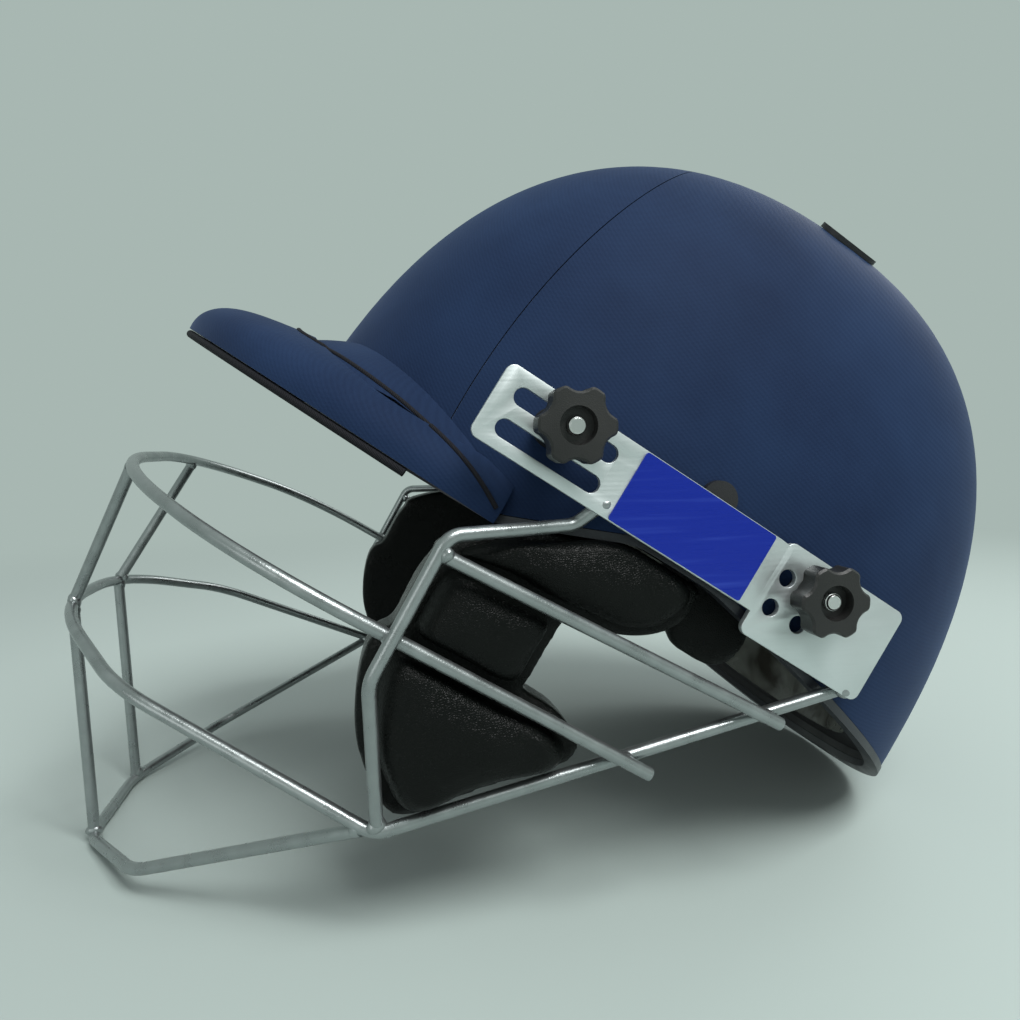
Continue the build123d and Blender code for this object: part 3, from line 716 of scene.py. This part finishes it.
beads = []
for number, place in enumerate(weld_places):
    deselect_all()
    bpy.ops.mesh.primitive_ico_sphere_add(subdivisions=3, radius=bead_radius, location=place)
    bead = bpy.context.object
    bead.scale = (1, bead_length, 1)
    bead.rotation_euler = (0.9 * number, 0.4 * number, 0.7 * number)
    bpy.ops.object.transform_apply(location=True, rotation=True, scale=True)
    beads.append(bead)
deselect_all()
for bead in beads:
    bead.select_set(True)
bpy.context.view_layer.objects.active = beads[0]
bpy.ops.object.join()
welds = bpy.context.object
welds.name = "weld_beads"
apply_place(welds)
weld_lumps = bpy.data.textures.new("weld_lumps", "CLOUDS")
weld_lumps.noise_scale = bead_lump_scale
apply_modifier(welds, "DISPLACE", texture=weld_lumps, strength=bead_roughness, mid_level=0.5)
bpy.ops.object.shade_smooth()
give_material(welds, wire_material)
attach(welds, "helmet")


# Side plates
# Flat steel plates carry the guard. They are punched, joggled at the label's rear edge and
# satin finished, with softly rounded edges that catch the light round each slot and hole.
plate_bevel = 0.0005
plate_colour = (0.74, 0.79, 0.80, 1)
plate_dull = (0.52, 0.56, 0.55, 1)
plate_brushing = Vector((1, 40, 900))
plate_slope = 0.57
plate_metal = 0.85
plate_bump = 0.00002
plate_cloud_scale = 45


def make_plate_material():
    material, nodes, links, shader = new_material("satin_plate")
    stretched = nodes.new("ShaderNodeMapping")
    stretched.inputs["Scale"].default_value = plate_brushing
    stretched.inputs["Rotation"].default_value = (plate_slope, 0, 0)
    links.new(object_vector(nodes), stretched.inputs["Vector"])
    brushing = nodes.new("ShaderNodeTexNoise")
    brushing.inputs["Scale"].default_value = 1.6
    brushing.inputs["Detail"].default_value = 4
    links.new(stretched.outputs["Vector"], brushing.inputs["Vector"])
    clouds = nodes.new("ShaderNodeTexNoise")
    clouds.inputs["Scale"].default_value = plate_cloud_scale
    links.new(object_vector(nodes), clouds.inputs["Vector"])
    colour = two_tone(nodes, links, clouds.outputs["Fac"], plate_dull, plate_colour)
    links.new(colour, shader.inputs["Base Color"])
    shader.inputs["Metallic"].default_value = plate_metal
    links.new(varied_roughness(nodes, links, brushing.outputs["Fac"], 0.36, 0.5),
              shader.inputs["Roughness"])
    lines = bump_from(nodes, links, brushing.outputs["Fac"], plate_bump, 0.3)
    links.new(lines, shader.inputs["Normal"])
    return material


plate_material = make_plate_material()


def soften_edges(piece, width, angle):
    apply_modifier(piece, "BEVEL", width=width, segments=2, limit_method="ANGLE",
                   angle_limit=math.radians(angle), harden_normals=False)
    make_active(piece)
    bpy.ops.object.shade_smooth_by_angle(angle=math.radians(35))


for side in ("left", "right"):
    node = "side_plate_" + side
    plate = copy_of_node(node, node + "_softened")
    make_active(plate)
    bpy.ops.object.mode_set(mode="EDIT")
    bpy.ops.mesh.select_all(action="SELECT")
    bpy.ops.mesh.dissolve_limited(angle_limit=math.radians(2))
    bpy.ops.object.mode_set(mode="OBJECT")
    soften_edges(plate, plate_bevel, 50)
    give_material(plate, plate_material)
    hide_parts(node)
    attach(plate, "helmet")


# Label plates
# A plain royal blue film label fills the middle of each strip. It is bare of any lettering and
# has the faint lengthwise rubs and slight waviness of a stuck film.
label_colour = (0.0045, 0.0190, 0.270, 1)
label_rubbed = (0.016, 0.040, 0.33, 1)
label_rub_stretch = (1, 14, 420)
label_wave_scale = 90
label_bump = 0.0002
label_shine = 0.25


def make_label_material():
    material, nodes, links, shader = new_material("blue_label_film")
    stretched = nodes.new("ShaderNodeMapping")
    stretched.inputs["Rotation"].default_value = (plate_slope, 0, 0)
    stretched.inputs["Scale"].default_value = label_rub_stretch
    links.new(object_vector(nodes), stretched.inputs["Vector"])
    rubs = nodes.new("ShaderNodeTexNoise")
    rubs.inputs["Scale"].default_value = 1.5
    rubs.inputs["Detail"].default_value = 6
    links.new(stretched.outputs["Vector"], rubs.inputs["Vector"])
    sparse = nodes.new("ShaderNodeMapRange")
    sparse.inputs["From Min"].default_value = 0.56
    sparse.inputs["From Max"].default_value = 0.75
    links.new(rubs.outputs["Fac"], sparse.inputs["Value"])
    colour = two_tone(nodes, links, sparse.outputs["Result"], label_colour, label_rubbed)
    links.new(colour, shader.inputs["Base Color"])
    links.new(varied_roughness(nodes, links, rubs.outputs["Fac"], 0.22, 0.36),
              shader.inputs["Roughness"])
    shader.inputs["Specular IOR Level"].default_value = label_shine
    waves = nodes.new("ShaderNodeTexNoise")
    waves.inputs["Scale"].default_value = label_wave_scale
    links.new(object_vector(nodes), waves.inputs["Vector"])
    ripples = bump_from(nodes, links, waves.outputs["Fac"], label_bump, 0.3)
    links.new(ripples, shader.inputs["Normal"])
    return material


label_material = make_label_material()
for side in ("left", "right"):
    give_material(frame["nodes"]["label_plate_" + side], label_material)


# Bolts, spacers, washers and knobs
# Bright zinc plated bolts hold the plates on rubber spacers, and black star knobs screw onto
# them over rubber washers. The knobs are moulded, with a slight sheen and rubbed edges.
thread_scale = 1250
bolt_colour = (0.62, 0.63, 0.62, 1)
knob_colour = (0.006, 0.006, 0.006, 1)
knob_worn = (0.018, 0.018, 0.017, 1)
rubber_colour = (0.010, 0.010, 0.010, 1)
thread_bump = 0.0004
bolt_roughness = 0.28
knob_grain = 1700
rubber_grain = 1100
fine_bump = 0.00005
rubber_roughness = 0.75
rubber_shine = 0.3


def make_bolt_material():
    material, nodes, links, shader = new_material("zinc_bolt")
    thread = nodes.new("ShaderNodeTexWave")
    thread.bands_direction = "X"
    thread.inputs["Scale"].default_value = thread_scale / 3
    links.new(object_vector(nodes), thread.inputs["Vector"])
    shader.inputs["Base Color"].default_value = bolt_colour
    shader.inputs["Metallic"].default_value = 1
    shader.inputs["Roughness"].default_value = bolt_roughness
    ridges = bump_from(nodes, links, thread.outputs["Fac"], thread_bump, 0.8)
    links.new(ridges, shader.inputs["Normal"])
    return material


def make_knob_material():
    material, nodes, links, shader = new_material("black_knob")
    grain = add_pebble(nodes, links, knob_grain)
    colour = two_tone(nodes, links, grain.outputs["Wear"], knob_colour, knob_worn)
    links.new(colour, shader.inputs["Base Color"])
    links.new(varied_roughness(nodes, links, grain.outputs["Wear"], 0.32, 0.5),
              shader.inputs["Roughness"])
    texture = bump_from(nodes, links, grain.outputs["Height"], fine_bump, 0.4)
    links.new(texture, shader.inputs["Normal"])
    return material


def make_rubber_material():
    material, nodes, links, shader = new_material("black_rubber")
    grain = add_pebble(nodes, links, rubber_grain)
    shader.inputs["Base Color"].default_value = rubber_colour
    shader.inputs["Specular IOR Level"].default_value = rubber_shine
    shader.inputs["Roughness"].default_value = rubber_roughness
    texture = bump_from(nodes, links, grain.outputs["Height"], fine_bump, 0.3)
    links.new(texture, shader.inputs["Normal"])
    return material


bolt_material = make_bolt_material()
knob_material = make_knob_material()
rubber_material = make_rubber_material()
for side in ("left", "right"):
    for place in ("front", "rear"):
        give_material(frame["nodes"][place + "_bolt_" + side], bolt_material)
        give_material(frame["nodes"][place + "_spacer_" + side], rubber_material)
        give_material(frame["nodes"][place + "_washer_" + side], rubber_material)
        give_material(frame["nodes"][place + "_knob_" + side], knob_material)
